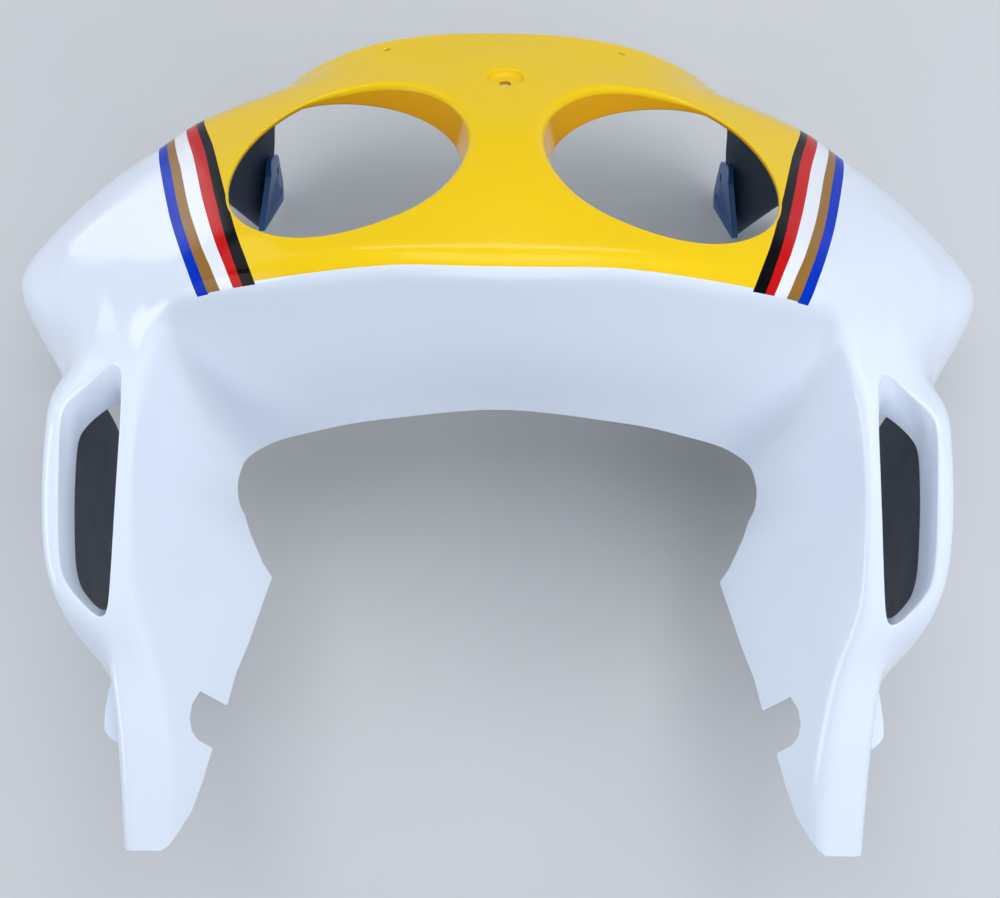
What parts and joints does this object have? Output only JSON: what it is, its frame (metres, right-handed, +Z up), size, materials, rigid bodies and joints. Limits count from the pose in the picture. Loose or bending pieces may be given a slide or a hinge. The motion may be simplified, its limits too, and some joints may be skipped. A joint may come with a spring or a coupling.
{
  "type": "motorcycle upper fairing",
  "caption": "Upper front fairing of a sport motorcycle: moulded shell with twin round lamp openings, cheeks, horns and legs with air ducts, with a yellow nose and side stripes.",
  "frame": {"origin": "middle of the wall round the nose screw hole, on the plane of symmetry", "axes": "riding position: +Z up, -Y is the front, +X is to the right in the front view, and X = 0 is the plane of symmetry"},
  "size_m": [0.6, 0.3121, 0.4842],
  "materials": {
    "body_white": "gloss",
    "nose_yellow": "gloss",
    "stripe_black": "gloss",
    "stripe_red": "gloss",
    "stripe_white": "gloss",
    "stripe_gold": "gloss",
    "stripe_blue": "gloss"
  },
  "bodies": {
    "root": {"fairing_shell": "body_white", "yellow_panel": "nose_yellow", "black_stripes": "stripe_black", "red_stripes": "stripe_red", "white_stripes": "stripe_white", "gold_stripes": "stripe_gold", "blue_stripes": "stripe_blue"}
  },
  "joints": []
}
